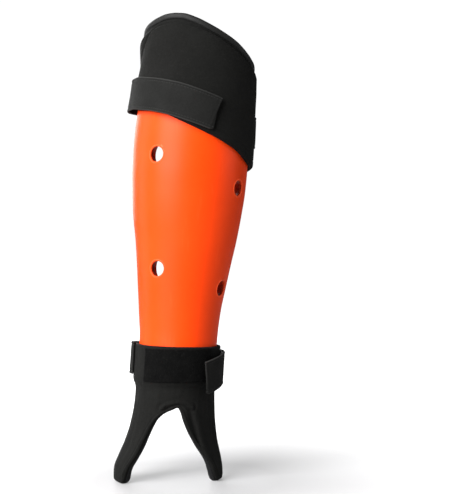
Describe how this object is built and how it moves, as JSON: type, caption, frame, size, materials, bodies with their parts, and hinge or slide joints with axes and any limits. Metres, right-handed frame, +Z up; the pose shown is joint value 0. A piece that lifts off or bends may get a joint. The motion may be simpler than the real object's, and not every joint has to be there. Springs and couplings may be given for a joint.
{
  "type": "hockey shin guard",
  "caption": "Padded hockey shin guard: moulded shell with vents over a foam liner, soft covers at knee and ankle, rear straps with hook ends, split ankle flaps. No markings.",
  "frame": {"origin": "floor point under the middle of the guard's box, with the guard standing on its two ankle flap tips", "axes": "+Z up along the leg towards the knee, -Y out of the shin, +X towards the lower side of the knee edge"},
  "size_m": [0.1272, 0.0928, 0.3999],
  "materials": {
    "shell_plastic": "satin moulded plastic, orange",
    "liner_foam": "smooth cloth-faced foam, near black",
    "cover_cloth": "matte brushed cloth, charcoal",
    "binding_tape": "satin edge tape, black",
    "strap_webbing": "matte ribbed webbing, charcoal",
    "hook_tape": "hook tape, black",
    "loop_tape": "brushed loop tape, black",
    "label_cloth": "matte woven label, white, blank"
  },
  "bodies": {
    "root": {"shin_shell": "shell_plastic", "foam_liner": "liner_foam", "knee_cover": "cover_cloth", "ankle_cover": "cover_cloth", "edge_binding": "binding_tape", "upper_strap": "strap_webbing", "upper_hook_tab": "hook_tape", "lower_strap": "strap_webbing", "lower_hook_tab": "hook_tape", "ankle_loop_patch": "loop_tape", "seam_label": "label_cloth"}
  },
  "joints": []
}
